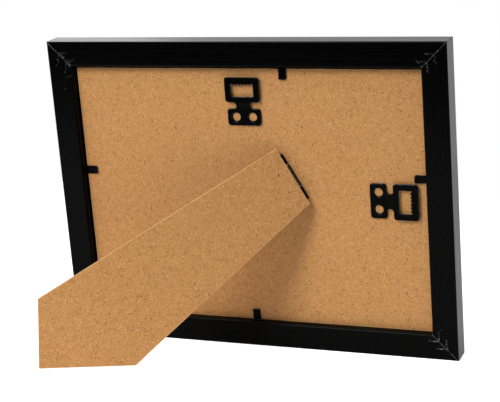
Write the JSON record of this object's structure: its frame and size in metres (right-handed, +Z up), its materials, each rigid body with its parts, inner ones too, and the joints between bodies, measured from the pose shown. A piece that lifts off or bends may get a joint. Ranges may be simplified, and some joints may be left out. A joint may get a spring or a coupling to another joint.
{
  "type": "easel back photo frame",
  "caption": "Black moulded photo frame seen from its back, standing on a slanted hinged easel leg, with a held board, bending tabs and sawtooth hangers for both ways up.",
  "frame": {"origin": "on the table, in the middle of the footprint of frame and leg", "axes": "+Z up, +X along the frame's width (towards the side where the leg's foot stands, which is the left seen from the back), +Y out of the back, towards the leg; the picture faces -Y and leans back"},
  "size_m": [0.2052, 0.0997, 0.1544],
  "materials": {
    "black_foil_moulding": "satin black foil over fibreboard moulding",
    "brown_board": "raw thin fibreboard with fine dark specks",
    "float_glass": "clear polished",
    "white_paper": "matt uncoated paper",
    "black_steel": "black coated pressed steel",
    "bright_steel": "bare spring steel edges"
  },
  "bodies": {
    "frame": {"moulding_top": "black_foil_moulding", "moulding_bottom": "black_foil_moulding", "moulding_left": "black_foil_moulding", "moulding_right": "black_foil_moulding", "v_nails_top_left": "bright_steel", "v_nails_top_right": "bright_steel", "v_nails_bottom_left": "bright_steel", "v_nails_bottom_right": "bright_steel", "glass_pane": "float_glass", "insert_sheet": "white_paper", "back_board": "brown_board", "tab_stake_top": "black_steel", "tab_stake_bottom": "black_steel", "tab_stake_left": "black_steel", "tab_stake_right": "black_steel", "hanger_landscape": "black_steel", "hanger_portrait": "black_steel", "hinge_leaf_board": "black_steel", "hinge_pin": "black_steel"},
    "leg": {"easel_leg": "brown_board", "hinge_leaf_leg": "black_steel"},
    "tab_bottom": {"tab_bottom": "black_steel"},
    "tab_left": {"tab_left": "black_steel"},
    "tab_top": {"tab_top": "black_steel"},
    "tab_right": {"tab_right": "black_steel"}
  },
  "joints": [
    {"name": "leg_hinge", "type": "hinge", "parent": "frame", "child": "leg", "pos_m": [-0.02322, -0.02454, 0.08781], "axis": [-0.5, -0.1652, -0.8501], "range_deg": [0, 33.6]},
    {"name": "tab_bottom_bend", "type": "hinge", "parent": "frame", "child": "tab_bottom", "pos_m": [0.00162, -0.03981, 0.0134], "axis": [-1, 0, 0], "range_deg": [0, 90]},
    {"name": "tab_left_bend", "type": "hinge", "parent": "frame", "child": "tab_left", "pos_m": [0.08965, -0.02546, 0.08726], "axis": [0, -0.1908, -0.9816], "range_deg": [0, 90]},
    {"name": "tab_top_bend", "type": "hinge", "parent": "frame", "child": "tab_top", "pos_m": [-0.02097, -0.01514, 0.14032], "axis": [1, 0, 0], "range_deg": [0, 90]},
    {"name": "tab_right_bend", "type": "hinge", "parent": "frame", "child": "tab_right", "pos_m": [-0.08965, -0.02531, 0.08803], "axis": [0, 0.1908, 0.9816], "range_deg": [0, 90]}
  ]
}
